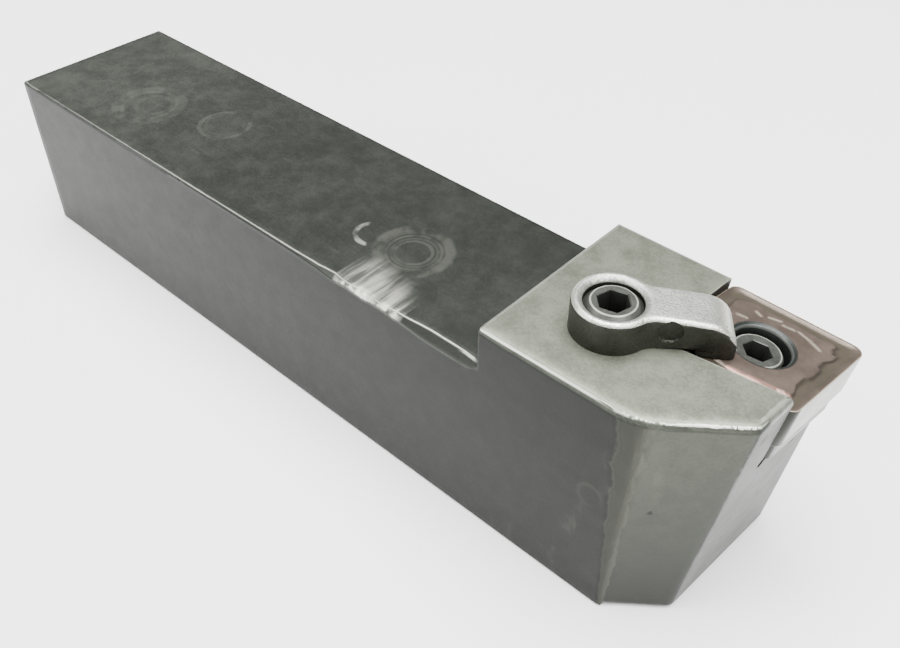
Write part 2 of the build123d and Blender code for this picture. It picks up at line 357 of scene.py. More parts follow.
def holder_finish(look):
    """Dark oxide on steel, with a cleaner head, ground front, rubbed rings, bare edges and a worn corner;
    painted shade on the upright sides, along the shank and down the front's foot, painted highlights on the
    bare edges and the head's rim, and painted shadow lines.
    """
    material, place = new_finish("worn holder steel")
    oxide, height = mottle(place, look.oxide_dark, look.oxide_light, 1.7)
    clean, _ = mottle(place, look.head_dark, look.head_light, 2.0)
    ragged = grain(place, 260, 5, 0.6) - 0.5
    # Dark oxide on every upright face, deepened as painted shade of the sides.
    colour = mixed(attribute(place, "upright"), oxide, look.upright_shade_tone)
    colour = mixed(attribute(place, "head"), colour, clean)
    colour = mixed(rubbed_marks(place), colour, look.rubbed_steel)
    colour = mixed(scuffs(place), colour, look.worn_tone)
    colour = mixed(worn_corner(place, ragged), colour, look.worn_tone)
    colour = mixed(attribute(place, "ground"), colour, ground_streaks(place, look))
    # Painted shade: darker along the shank and plain side towards the front, on their bevel and down the
    # front's foot.
    colour = mixed(attribute(place, "painted_shade"), colour, look.painted_shade_tone)
    # Painted shadow lines under the rim's crest and along the shank's back bevel.
    colour = mixed(attribute(place, "shadowed"), colour, look.pit_and_shade_tone)
    # Bare edges, worn steel and painted highlight both, brighter on the plain side.
    edges = edge_line(place, 0.3, 0.22) * attribute(place, "edge_gain").calc("POWER", 2.0)
    # Painted highlight along the crest of the head's rim, broken up.
    rim = fade(attribute(place, "rim") + ragged * 0.7, 0.3, 0.62)
    scraped = scraped_band(place)
    shiny = largest(edges * 0.8, rim * 0.9, scraped)
    colour = mixed(shiny, colour, look.bare_steel_and_highlight)
    colour = mixed(pitted_spots(place), colour, look.pit_and_shade_tone)
    rough = height * 0.12 + 0.36 - shiny * 0.14
    return dress(material, colour, 0.85, rough, height - scraped * 0.8, 0.00002, 0.7)


def scuffs(place):
    """Faint scuffs on the head's plain side, and one small round dent."""
    faint = fade(grain(stretched(place, (0, 0.7, 0), (1, 1, 0.4)), 210, 5, 0.6), 0.6, 0.74)
    x, y, z = parts(place)
    dent = ring(joined(x, z, y), 78.66, 21.5, 1.9, 0.3)
    return largest(faint * 0.2, dent * 0.1) * attribute(place, "scuff")


def worn_corner(place, ragged):
    """Pale worn strip down the corner between the plain side and the angled side, with a soft outline."""
    x, _, z = parts(place)
    middle = z * -0.0075 + (CORNER_X - 0.175) * MM
    half = z * 0.0375 + 0.275 * MM
    share = abs(x - middle) / half + ragged * 2.4
    inside = fade(share, 1.15, 0.6, 0.0, 0.17)
    border = fade(abs(share - 0.95), 0.34, 0.0, 0.0, 0.22)
    return largest(inside, border) * attribute(place, "scuff")


def ground_streaks(place, look):
    """Streaked grey of the ground front."""
    sawn = grain(stretched(place, ORIGIN, (1, 0.1, 1)), 1500, 3)
    cloud = grain(place, 160, 4)
    return mixed(fade(sawn + cloud, 0.8, 1.2), look.ground_dark, look.ground_light)


def pits():
    """Small pits and chips of the front face and its edges: place and radius in millimetres."""
    return (
        ((94.25, -4.52, 34.78), 0.8),
        ((92.95, 4.71, 15.32), 0.6),
        ((92.06, -1.62, 10.53), 0.5),
        ((94.41, 7.37, 28.35), 1.5),
        ((94.13, 8.39, 24.77), 1.3),
        ((94.82, 10.49, 30.39), 0.9),
        ((86.2, -13.3, 21.9), 0.5),
    )


def pitted_spots(place):
    """Dark ragged spots where the metal is chipped."""
    ragged = (grain(place, 900, 4, 0.6) - 0.5) * 1.8
    spots = []
    for centre, radius in pits():
        away = vector("DISTANCE", place, tuple(c * MM for c in centre)) / (radius * MM)
        spots.append(fade(away + ragged, 1.1, 0.6, 0.0, 0.88))
    return largest(*spots)


def rubbed_rings():
    """Rubbed circles on the shank's top: centre x and y, radius and width in millimetres, and strength."""
    return (
        (-32.35, -4.5, 6.1, 0.8, 0.16),
        (-32.35, -4.5, 5.0, 0.4, 0.22),
        (-31.6, -3.9, 3.4, 0.5, 0.12),
        (-16.25, 0.5, 4.5, 0.42, 0.24),
        (-16.25, 0.5, 3.6, 0.4, 0.1),
        (35.0, -3.4, 5.7, 0.8, 0.42),
        (35.2, -3.4, 5.0, 0.3, 0.3),
        (35.3, -3.5, 4.3, 0.25, 0.36),
        (35.4, -3.5, 3.6, 0.22, 0.26),
        (35.3, -3.6, 2.9, 0.26, 0.34),
    )


def rubbed_marks(place):
    """Soft rubbed rings and a few faint scratches on the shank's top."""
    rings = [ring(place, *sizes) * strength for *sizes, strength in rubbed_rings()]
    lines = scratches(place, {"Turn": (0, 0, 0.5), "Length": 0.12, "Density": 1500.0})
    few = fade(grain(place, 60, 3), 0.54, 0.66)
    return largest(*rings, lines * few * 0.14) * attribute(place, "shank_top")


def scraped_band(place):
    """Bare streaks that run in from the edge where the steel was scraped, and one hook-shaped scratch."""
    run = stretched(place, (0, 0, -0.12), (1, 0.1, 1))
    streaks = fade(grain(run, 620, 4, 0.6), 0.38, 0.62, 0.08, 0.8)
    open_side = Vector((0.77, 0.64, 0))
    start = Vector((HOOK_X, HOOK_Y, 0)).dot(open_side) * MM
    half_turn = fade(vector("DOT_PRODUCT", place, tuple(open_side)), start - 0.0006, start - 0.0012, 0.0, 0.5)
    hook = ring(place, HOOK_X, HOOK_Y, 2.8, 0.4) * half_turn * attribute(place, "shank_top")
    return largest(attribute(place, "scrape") * streaks, hook)


def shaded_corner(place):
    """Painted shade down the rounded corner that the insert and its seat share."""
    back = INSERT_BACK * (INSERT_CIRCLE * INSERT_LEAN - INSERT_SIDE) / 2
    corner = INSERT_CENTRE + back + INSERT_INWARD * INSERT_CIRCLE / 2
    away = vector("SUBTRACT", place, tuple(corner * MM))
    away = vector("LENGTH", vector("CROSS_PRODUCT", away, tuple(INSERT_UP)))
    return fade(away, 1.75 * MM, 1.45 * MM)


def insert_finish(look):
    """Coppery brown coating on the insert's faces, grey ground flanks and a worn cutting edge, with painted
    shade in the groove, on its inner wall, down the hole and down the corner, and painted highlights along
    the edges, in strokes, in a pink strip and round the hole's mouth.
    """
    material, place = new_finish("brown coated carbide")
    cloud = grain(place, 190, 4, 0.6)
    fine = grain(place, 5200, 3, 0.6)
    patchy = fade(grain(place, 700, 3), 0.22, 0.45)
    bore = attribute(place, "bore")
    lit = fade(bore, 0.25, 0.45) * fade(bore, 0.75, 0.55)
    coat = mixed(fade(cloud, 0.35, 0.68), look.coat_dark, look.coat_light)
    # Painted shade down in the chip groove.
    coat = mixed(attribute(place, "groove") * 0.7, coat, look.groove_shade_tone)
    # Painted shade on the groove's inner wall.
    coat = mixed(attribute(place, "wall") * 0.6, coat, look.wall_shade_tone)
    # Painted highlight strokes, patchy.
    coat = mixed(attribute(place, "mark") * patchy * 0.7, coat, look.stroke_highlight_tone)
    # Painted shade down the hole, and a painted highlight ring on its rounded mouth.
    coat = mixed(fade(bore, 0.0, 0.25), coat, look.bore_shade_tone)
    coat = mixed(lit, coat, look.bore_light)
    ground = mixed(fade(cloud, 0.3, 0.7), look.flank_dark, look.flank_light)
    # Painted shade down the corner shared with the seat.
    ground = mixed(shaded_corner(place), ground, look.corner_shade_tone)
    flank = attribute(place, "flank")
    colour = mixed(flank, coat, ground)
    # Painted pink highlight along the insert's edge by the pocket's wall.
    rosy = attribute(place, "rubbed") * fade(grain(place, 420, 4), 0.3, 0.55)
    colour = mixed(rosy * 0.8, colour, look.rosy_highlight_tone)
    # Worn cutting edge, and a painted highlight along the face's other edges.
    only_face = edge_line(place, 0.16, 0.3) * (flank * -1.0 + 1.0)
    colour = mixed(only_face * 0.75, colour, look.edge_wear_and_highlight_tone)
    return dress(material, colour, 0.6, fade(fine, 0.2, 0.8, 0.3, 0.46), fine + cloud, 0.000008, 0.6)


def seat_finish(look):
    """Ground grey carbide, a little blotched, with painted shade down the corner it shares with the insert.
    """
    material, place = new_finish("ground seat carbide")
    cloud = grain(place, 260, 4, 0.6)
    lines = scratches(place, {"Turn": (0, 0, 0.2), "Length": 0.05})
    colour = mixed(fade(cloud, 0.3, 0.7), look.seat_dark, look.seat_light)
    colour = mixed(lines * 0.3, colour, look.bare_steel_and_highlight)
    # Painted shade down the corner shared with the insert.
    colour = mixed(shaded_corner(place), colour, look.corner_shade_tone)
    colour = mixed(pitted_spots(place), colour, look.pit_and_shade_tone)
    return dress(material, colour, 0.7, fade(cloud, 0.2, 0.8, 0.32, 0.44), lines, 0.00001, 0.4)


def clamp_finish(look):
    """Forged steel: blackened sides, a satin top rubbed bright and painted lighter where the light falls, and
    a polished rim with a painted highlight.
    """
    material, place = new_finish("forged clamp steel")
    forged, height = mottle(place, look.forged_dark, look.forged_light)
    satin, _ = mottle(place, look.satin_dark, look.satin_light)
    ragged = grain(place, 900, 5, 0.65) - 0.5
    # Satin top, rubbed and also painted lighter where the light falls on it.
    rubbed = fade(attribute(place, "top") + ragged * 0.35, 0.35, 0.6)
    sparkle = fade(grain(place, 3600, 3, 0.6), 0.42, 0.62)
    colour = mixed(rubbed, forged, mixed(sparkle * 0.45, satin, look.bare_steel_and_highlight))
    # Polished rim, brightened as a painted highlight.
    polished = fade(attribute(place, "rim") + ragged * 0.5, 0.45, 0.75)
    colour = mixed(polished, colour, look.bare_steel_and_highlight)
    rough = height * 0.14 + 0.28 - polished * 0.12
    return dress(material, colour, 0.9, rough, height + sparkle * 0.6, 0.00004, 0.8)


def fastener_finish(look):
    """Grey steel of the pin and the screw, with painted shade in the socket."""
    material, place = new_finish("dull fastener steel")
    dull, height = mottle(place, look.fastener_dark, look.fastener_light)
    # Painted shade down the hexagon socket.
    colour = mixed(attribute(place, "recess"), dull, look.socket_shade_tone)
    colour = mixed(edge_line(place, 0.18, 0.3) * 0.7, colour, look.bare_steel_and_highlight)
    return dress(material, colour, 0.75, fade(height, 0.4, 1.6, 0.3, 0.5), height, 0.000015, 0.5)


# --------------------------------------------------------------- mesh helpers


def node_mesh(node):
    """Merged copy of a CAD node's mesh, in millimetres."""
    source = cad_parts[node]
    work = bmesh.new()
    work.from_mesh(source.data)
    bmesh.ops.transform(work, matrix=Matrix.Scale(1 / MM, 4) @ source.matrix_world, verts=work.verts)
    bmesh.ops.remove_doubles(work, verts=work.verts, dist=0.0005)
    return work


def spans(face, axis, place):
    """True if a face lies on both sides of a cut."""
    low = min(v.co[axis] for v in face.verts)
    high = max(v.co[axis] for v in face.verts)
    return low < place < high


def slice_grid(work, axis, places, keep=None):
    """Cuts a mesh by planes across one axis, on the faces for which keep is true."""
    for place in places:
        point = Vector((0, 0, 0))
        point[axis] = place
        out = Vector((0, 0, 0))
        out[axis] = 1
        faces = [f for f in work.faces if spans(f, axis, place) and (keep is None or keep(f))]
        edges = {e for f in faces for e in f.edges}
        verts = {v for f in faces for v in f.verts}
        geometry = faces + list(edges) + list(verts)
        bmesh.ops.bisect_plane(work, geom=geometry, dist=0.01, plane_co=point, plane_no=out)


def steps(start, end, gap):
    """Places from start to end, gap apart, off the round numbers that CAD edges use."""
    return [start + gap * (i + 0.5) for i in range(int((end - start) / gap))]


def arrays(work):
    """Vertex places and normals as numpy arrays, in millimetres."""
    work.verts.ensure_lookup_table()
    work.normal_update()
    places = np.array([v.co for v in work.verts])
    normals = np.array([v.normal for v in work.verts])
    return places, normals


def set_places(work, places):
    """Moves the vertices to new places."""
    for vert, place in zip(work.verts, places):
        vert.co = place


def finished(work, name, material, body, replaced, values, crease=32):
    """Turns a working mesh in millimetres into a piece that rides on its body."""
    bmesh.ops.triangulate(work, faces=[f for f in work.faces if len(f.verts) > 4])
    bmesh.ops.transform(work, matrix=Matrix.Scale(MM, 4), verts=work.verts)
    mesh = bpy.data.meshes.new(name)
    work.to_mesh(mesh)
    work.free()
    for label, data in values.items():
        layer = mesh.attributes.new(label, "FLOAT", "POINT")
        layer.data.foreach_set("value", np.ascontiguousarray(data, dtype=np.float32))
    mesh.shade_smooth()
    mesh.set_sharp_from_angle(angle=math.radians(crease))
    mesh.materials.append(material)
    piece = bpy.data.objects.new(name, mesh)
    bpy.context.scene.collection.objects.link(piece)
    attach(piece, body)
    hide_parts(replaced)
    return piece


def noise_at(places, size, seed):
    """Smooth noise about zero at each place, its features size millimetres across."""
    shift = Vector((seed * 3.1, seed * 1.7, seed * 2.3))
    return np.array([noise.noise(Vector(p) / size + shift) for p in places])


def segment_distance(places, start, end):
    """Distance of each place from a straight line between two points."""
    start = np.array(start)
    run = np.array(end) - start
    share = np.clip((places - start) @ run / (run @ run), 0, 1)
    return np.linalg.norm(places - start - share[:, None] * run, axis=1)


def on_plane(places, point, out):
    """Signed distance of each place from a plane."""
    return (places - np.array(point)) @ np.array(out)


def smooth(value, low, high):
    """Smooth step from 0 at low to 1 at high."""
    t = np.clip((value - low) / (high - low), 0, 1)
    return t * t * (3 - 2 * t)


def peak(value, centre, width):
    """Bell-shaped weight about a centre."""
    return np.exp(-(((value - centre) / width) ** 2))


def edge_lines(work, tightest):
    """Outward edges that are sharp or rounded by less than a radius, as pairs of points."""
    found = []
    for edge in work.edges:
        if len(edge.link_faces) != 2:
            continue
        turn = edge.calc_face_angle_signed(0)
        if turn < math.radians(3):
            continue
        width = min(2 * face.calc_area() / edge.calc_length() for face in edge.link_faces)
        if turn > math.radians(24) or width / turn < tightest:
            found.append((tuple(edge.verts[0].co), tuple(edge.verts[1].co)))
    return found


def nearest_line(places, lines):
    """Distance in millimetres from each place to the nearest of many short lines."""
    gap = 0.4
    points = []
    for start, end in lines:
        start = np.array(start)
        end = np.array(end)
        count = max(2, int(np.linalg.norm(end - start) / gap) + 1)
        points.extend(start + (end - start) * share for share in np.linspace(0, 1, count))
    tree = KDTree(len(points))
    for i, point in enumerate(points):
        tree.insert(point, i)
    tree.balance()
    return np.array([tree.find(place)[2] for place in places])


# ------------------------------------------------------------------ the holder


def rim_distance(places):
    """Distance in plan inside the head's two outer sides together, the plain one and the angled one."""
    side = places[:, 1] + SHANK_HALF
    turn = math.atan(CORNER_SLOPE)
    angled = side * math.cos(turn) - (places[:, 0] - CORNER_X) * math.sin(turn)
    round_off = 3.0
    closest = -np.logaddexp(-side * round_off, -angled * round_off) / round_off
    return closest, side, angled


def head_mask(x, z, over, normals):
    """The cleaner steel of the head's top, and a little of it on the angled side."""
    top = smooth(x, STEP_X - 0.4, STEP_X + 0.4) * over * smooth(normals[:, 2], 0.5, 0.9)
    angled = smooth(normals[:, 0], 0.3, 0.6) * smooth(-normals[:, 1], 0.4, 0.7)
    return np.maximum(top, angled * (0.03 + 0.3 * z / HEAD_TOP))


def ground_mask(places, normals):
    """The ground front face and the facet behind the nose."""
    front = smooth(-np.abs(on_plane(places, FRONT_POINT, FRONT_OUT)), -0.3, -0.05)
    facet = smooth(-np.abs(on_plane(places, FACET_POINT, FACET_OUT)), -0.3, -0.05)
    return np.maximum(front * smooth(normals[:, 0], 0.9, 0.97), facet * smooth(normals[:, 1], 0.5, 0.6))


def worn_mask(places, normals, side, angled):
    """The worn band down the corner between the plain side and the angled side."""
    x, _, z = places.T
    width = 1.1 + z * 0.045 + 0.35 * np.sin(z * 0.55) * smooth(z, 2, 8)
    band = 1 - smooth(np.abs(side - angled * 0.75 + 0.5 * np.sin(z * 0.4)) / width, 0.3, 1.2)
    outward = smooth(-normals[:, 1], 0.45, 0.65)
    return band * smooth(z, 0.3, 3) * outward * smooth(x, CORNER_X - 7, CORNER_X - 3)


def scrape_mask(x, inward):
    """The scraped band, from the plain side's edge in to its uneven end."""
    start = SCRAPE_START + 0.1 * inward
    end = SCRAPE_END - 0.25 * inward
    off = x - SCRAPE_MIDDLE
    reach = SCRAPE_REACH - 2.2 * smooth(np.abs(off), 1, 6) * np.sign(off)
    along = smooth(x, start - 0.6, start + 0.6) * (1 - smooth(x, end - 0.8, end + 0.8))
    faded = 0.75 * smooth(inward, reach - 4.5, reach - 1.5) + 0.25 * smooth(inward, reach - 1.5, reach)
    return along * (1 - faded)


def painted_shade_mask(places, normals, flat, upright, ground):
    """Painted shade: how much darker the steel is painted on the top, the plain side, their bevel and the
    front's foot.
    """
    x, y, z = places.T
    facing = normals[:, 2]
    plain = upright * smooth(-normals[:, 1], 0.8, 0.95)
    tilted = smooth(facing, 0.2, 0.4) * (1 - smooth(facing, 0.86, 0.97)) * (y < -15) * (x < STEP_X)
    painted_shade = flat * (0.44 * smooth(x, -58, 0) + 0.13 * smooth(x, 0, 50))
    painted_shade = painted_shade + plain * (0.16 + 0.22 * smooth(x, -45, 0)) + tilted * 0.15 * smooth(x, 30, 40)
    painted_shade = painted_shade + ground * (0.1 + 0.15 * (1 - smooth(z, 2, 24)))
    return np.clip(painted_shade, 0, 0.8)


def edge_gain(places, closest):
    """How bright the bare edges are painted, as worn steel and painted highlight both: full at the shank's
    top, faint below it and on the head.
    """
    x, y, z = places.T
    low_bevel = 0.2 * smooth(SHANK_TOP - z, 0.3, 0.6) * smooth(x, 29, 33)
    gain = np.where(z > SHANK_TOP - 0.1, 1.0, np.where(z > SHANK_TOP - 1, low_bevel, 0.12))
    on_shank = gain * np.where(y < 0, 0.9, 0.5)
    on_head = gain * np.where(closest < 1.3, 0.0, 0.6)
    return np.where(x < STEP_X - 0.5, on_shank, on_head)


def holder_values(places, normals, edge):
    """Wear, finish, painted shade and edge highlight masks for the holder's vertices."""
    x, y, z = places.T
    closest, side, _ = rim_distance(places)
    over = smooth(z, SHANK_TOP + 1, SHANK_TOP + 3)
    upright = 1 - smooth(np.abs(normals[:, 2]), 0.1, 0.4)
    flat = smooth(normals[:, 2], 0.3, 0.6) * (1 - over)
    ground = ground_mask(places, normals)
    on_bevel = (np.abs(z - SHANK_TOP + TOP_BEVEL) < 0.05) & (y < -SHANK_HALF + 0.05) & (x < STEP_X)
    return {
        "head": head_mask(x, z, over, normals),
        "upright": upright,
        "ground": ground,
        "scuff": smooth(x, 55, 70) * upright * smooth(-normals[:, 1], 0.3, 0.6),
        "scrape": scrape_mask(x, side) * flat,
        "painted_shade": painted_shade_mask(places, normals, flat, upright, ground),
        "shank_top": flat,
        "edge_mm": edge,
        "edge_gain": edge_gain(places, closest),
        "shadowed": on_bevel * (1 - smooth(x, 31, 36)),
    }


def ease_rim(places, closest, sizes):
    """Lets the head's top fall at its rim."""
    inside = (places[:, 0] > STEP_X + 0.05) & (places[:, 2] > SHANK_TOP + 0.5)
    fall = sizes.rim_drop * (1 - np.clip(closest / sizes.rim_reach, 0, 1)) ** 2
    share = np.clip((places[:, 2] - SHANK_TOP) / (HEAD_TOP - SHANK_TOP), 0, 1)
    start = smooth(places[:, 0], STEP_X - 0.5, STEP_X + 4) * 0.7 + 0.3
    places[:, 2] -= np.where(inside, fall * share * start, 0)


def bevel_scale(x):
    """Width of the plain side's top bevel along the shank, as a share of its drawn width."""
    wavy = 0.35 * np.sin(x * 0.9) * smooth(x, 24, 30) * (1 - smooth(x, 42, 46))
    scale = 0.45 + 0.5 * smooth(x, 20, 30) + 1.1 * smooth(x, 42, 50) + wavy
    return 1 + (scale - 1) * smooth(STEP_X - x, 0.0, 2.0)


def reshape_bevel(places):
    """Narrow worn bevel at the back of the plain side's top edge, wide near the head."""
    x, y, z = places.T
    scale = bevel_scale(x)
    reach = 4.0
    inward = y + SHANK_HALF
    down = SHANK_TOP - z
    on_shank = x < STEP_X
    on_top = (np.abs(down) < 0.01) & (inward < reach) & on_shank
    on_side = (np.abs(inward) < 0.01) & (down > 0) & (down < reach) & on_shank
    on_bevel = (down > 0.005) & (inward > 0.005) & (down + inward < TOP_BEVEL + 0.01) & on_shank
    for chosen, index, offset, sign in ((on_top, 1, inward, 1), (on_side, 2, down, -1)):
        moved = TOP_BEVEL * (scale - 1) * (1 - np.clip((offset - TOP_BEVEL) / (reach - TOP_BEVEL), 0, 1))
        places[:, index] += np.where(chosen, sign * moved, 0)
    places[:, 1] += np.where(on_bevel, inward * (scale - 1), 0)
    places[:, 2] -= np.where(on_bevel, down * (scale - 1), 0)


def sharpen_foot(places, kept):
    """Keeps only a share of the rounding along the plain side's foot."""
    rounding = 1.3
    inward = SHANK_HALF + places[:, 1]
    rounded = (inward < rounding) & (places[:, 2] < rounding) & (places[:, 0] < CORNER_X)
    places[:, 1] = np.maximum(np.where(rounded, inward * kept, inward) - SHANK_HALF, -SHANK_HALF)
    places[:, 2] *= np.where(rounded, kept, 1.0)


def paint_rim_highlight(values, places, normals, closest):
    """Painted highlight along the eased rim's crest, and a painted shadow line under it."""
    near = (closest < 1.6) & (places[:, 2] > RIM_LOW) & (places[:, 0] > STEP_X - 0.5) & (normals[:, 0] < 0.9)
    values["rim"] = peak(normals[:, 2], 0.74, 0.1) * near
    values["shadowed"] = np.maximum(values["shadowed"], 0.5 * peak(normals[:, 2], 0.22, 0.16) * near)


def in_head(face):
    """True for a face near the head's top."""
    middle = face.calc_center_median()
    return middle.x > STEP_X - 1 and middle.z > HEAD_LOW


def build_holder(sizes, look):
    """Shank and head refined on a grid, its rim eased over, its edges worn and its faces marked."""
    work = node_mesh("holder_body")
    lines = edge_lines(work, sizes.edge_round)
    slice_grid(work, 0, steps(BACK_X, STEP_X, sizes.grid * 1.6))
    slice_grid(work, 0, steps(STEP_X, NOSE_X, sizes.grid))
    slice_grid(work, 1, steps(-SHANK_HALF, SHANK_HALF, sizes.grid))
    slice_grid(work, 2, steps(0, HEAD_TOP, sizes.grid))
    slice_grid(work, 2, [HEAD_TOP - 0.3, HEAD_TOP - 0.6], in_head)
    places, normals = arrays(work)
    values = holder_values(places, normals, nearest_line(places, lines))
    closest, side, angled = rim_distance(places)
    worn = worn_mask(places, normals, side, angled)
    ease_rim(places, closest, sizes)
    worn_in = worn * sizes.wear_depth * np.clip(0.6 + noise_at(places, 2.2, 1), 0, None)
    places -= normals * worn_in[:, None]
    reshape_bevel(places)
    sharpen_foot(places, sizes.foot_sharpness)
    set_places(work, places)
    _, eased = arrays(work)
    paint_rim_highlight(values, places, eased, closest)
    material = holder_finish(look)
    return finished(work, "holder_shank_and_head", material, "holder", "holder_body", values)


# ------------------------------------------------------------------ the insert


def rhombus_ring(circle, corner, per_side, per_corner):
    """Points round a rhombus with rounded corners, about its centre, always in the same order."""
    side = circle / math.sin(INSERT_ANGLE)
    lean = circle / math.tan(INSERT_ANGLE)
    corners = [Vector(p) for p in ((0, 0), (side, 0), (side + lean, circle), (lean, circle))]
    middle = Vector(((side + lean) / 2, circle / 2))
    corners = [c - middle for c in corners]
    ring_points = []
    for i, here in enumerate(corners):
        back = (corners[i - 1] - here).normalized()
        ahead = (corners[(i + 1) % 4] - here).normalized()
        half = back.angle(ahead) / 2
        centre = here + (back + ahead).normalized() * corner / math.sin(half)
        first = centre - here - back * (centre - here).dot(back)
        last = centre - here - ahead * (centre - here).dot(ahead)
        sweep = first.angle(last)
        for k in range(per_corner + 1):
            turn = Matrix.Rotation(sweep * k / per_corner, 2)
            ring_points.append(centre + turn @ (-first))
        far = corners[(i + 1) % 4]
        far_half = (corners[(i + 2) % 4] - far).angle(here - far) / 2
        begin = here + ahead * corner / math.tan(half)
        finish = far - ahead * corner / math.tan(far_half)
        for k in range(1, per_side):
            ring_points.append(begin.lerp(finish, k / per_side))
    return np.array([tuple(p) for p in ring_points])


def front_share(plan):
    """How near each place of the insert lies to its front edge, from 0 to 1."""
    inset = plan[:, 0] - plan[:, 1] * INSERT_LEAN + INSERT_SIDE / 2
    return 1 - smooth(inset, 2.6, 4.5)


def insert_face_rings(sizes, per_side, per_corner):
    """Rings of one face from the cutting edge in to the hole: plan, height, groove and edge values."""
    land = sizes.groove_land
    total = 4 * (per_side + per_corner)
    turn = np.arange(total) / total * 2 * math.pi
    wave = smooth(np.sin(turn * 12 + 0.9 * np.sin(turn * 4)), -0.6, 0.6)
    outline = rhombus_ring(INSERT_CIRCLE, INSERT_CORNER, per_side, per_corner)
    width = sizes.groove_width + sizes.groove_wave * wave * (0.25 + 0.75 * front_share(outline))
    rings = []
    for depth_in, drop in ((0.0, 0.07), (0.02, 0.02), (0.07, 0.0), (land, 0.0)):
        plan = rhombus_ring(INSERT_CIRCLE - 2 * depth_in, INSERT_CORNER - depth_in, per_side, per_corner)
        rings.append((plan, np.full(total, -drop), 0.0, depth_in))
    outer = rings[-1][0]
    inner = rhombus_ring(INSERT_CIRCLE - 2 * (land + 2.0), INSERT_CORNER, per_side, per_corner)
    run = (inner - outer) / 2.0
    for k in range(1, PER_GROOVE + 1):
        share = k / PER_GROOVE
        dip = min(1.0, share / 0.35) ** 0.8 * min(1.0, (1 - share) / 0.12) * sizes.groove_depth
        groove = min(1.0, share / 0.3) * (k < PER_GROOVE)
        rings.append((outer + run * (width * share)[:, None], np.full(total, -dip), groove, FAR))
    border = rings[-1][0]
    angles = np.arctan2(border[:, 1], border[:, 0])
    mouth = INSERT_HOLE + sizes.hole_round
    circle = np.stack([np.cos(angles), np.sin(angles)], axis=1) * mouth
    for k in range(1, PER_FLOOR + 1):
        share = (k / PER_FLOOR) ** 0.85
        rings.append((border * (1 - share) + circle * share, np.zeros(total), 0.0, FAR))
    for k in range(1, PER_MOUTH + 1):
        bend = math.pi / 2 * k / PER_MOUTH
        radius = mouth - sizes.hole_round * math.sin(bend)
        drop = sizes.hole_round * (1 - math.cos(bend))
        rings.append((circle / mouth * radius, np.full(total, -drop), 0.0, FAR))
    return rings


def highlight_strokes():
    """Painted highlight strokes on the insert's face, beyond its hole: start and end in the insert's own
    plan.
    """
    return (
        ((-0.68, -5.91), (-2.88, -6.18)),
        ((-2.88, -6.18), (-4.5, -5.61)),
        ((-4.5, -5.61), (-6.24, -4.64)),
        ((5.07, -3.45), (3.81, -3.6)),
        ((3.27, -5.91), (2.5, -5.53)),
        ((1.42, -6.07), (-0.08, -6.5)),
    )


def insert_values(points, stack, total):
    """Finish, painted shade and painted highlight masks for the insert's vertices, ring by ring; total is the
    count of points to a ring.
    """
    groove, edge = (np.repeat([layer[i] for layer in stack], total) for i in (2, 3))
    flank = np.zeros(len(points))
    flank[:total] = 1
    flank[-total:] = 1
    away = np.full(len(points), FAR)
    for start, end in highlight_strokes():
        away = np.minimum(away, segment_distance(points, (*start, 0), (*end, 0)))
    strip = segment_distance(points, ROSY_START, ROSY_END)
    wall = np.zeros(len(points))
    for k, strength in WALL_RINGS:
        wall[k * total : (k + 1) * total] = strength
    mouth = len(stack) // 2 - PER_MOUTH
    bore = np.zeros(len(points))
    bore[(mouth + 4) * total : (len(stack) - mouth - 4) * total] = 1
    for k, share in enumerate((0.25, 0.25, 0.5, 0.5)):
        bore[(mouth + k) * total : (mouth + k + 1) * total] = share
    return {
        "groove": groove,
        # Painted shade on the groove's inner wall, strongest near the front.
        "wall": wall * (0.15 + 0.85 * front_share(points)),
        # Painted pink highlight strip by the pocket's wall.
        "rubbed": (1 - smooth(strip, 0.3, 0.75)) * (1 - flank),
        "bore": bore,
        "flank": flank,
        "edge_mm": np.where(edge < 8, np.abs(edge - 0.03), FAR),
        # Painted highlight strokes.
        "mark": (1 - smooth(away, 0.08, 0.34)) * (points[:, 2] > -0.01),
    }


def build_insert(sizes, look):
    """Rhombic insert with a smooth wavy chip groove pressed round both faces."""
    rings = insert_face_rings(sizes, per_side=40, per_corner=12)
    total = len(rings[0][0])
    stack = rings + [(r[0], -INSERT_THICKNESS - r[1], r[2], r[3]) for r in reversed(rings)]
    points = np.array([(p[0], p[1], h) for plan, height, _, _ in stack for p, h in zip(plan, height)])
    axes = np.array([tuple(INSERT_BACK), tuple(INSERT_INWARD), tuple(INSERT_UP)])
    work = bmesh.new()
    verts = [work.verts.new(p) for p in points @ axes + np.array(INSERT_CENTRE)]
    layers = [verts[k * total : (k + 1) * total] for k in range(len(stack))]
    for k, layer in enumerate(layers):
        bridge(work, layer, layers[(k + 1) % len(stack)])
    bmesh.ops.recalc_face_normals(work, faces=work.faces)
    values = insert_values(points, stack, total)
    material = insert_finish(look)
    return finished(
        work, "rhombic_cutting_insert", material, "holder", "cutting_insert", values
    )


# ------------------------------------------------------------------- the clamp


def pad_reach(places):
    """How far the back of the clamp's pad can run back before it meets the pocket's two walls."""
    # A millimetre back along the clamp goes this far towards each wall.
    inward_share = 0.493
    back_share = 0.858
    gap = 0.15
    most = 2.6
    off = places - np.array(INSERT_CENTRE)
    along = off @ np.array(INSERT_BACK)
    inward = off @ np.array(INSERT_INWARD)
    to_side = (INSERT_CIRCLE / 2 - gap - inward) / inward_share
    to_back = INSERT_SIDE / 2 - gap - (along - inward * INSERT_LEAN)
    to_back = to_back / (back_share - inward_share * INSERT_LEAN)
    return np.clip(np.minimum(to_side, to_back), 0, most)


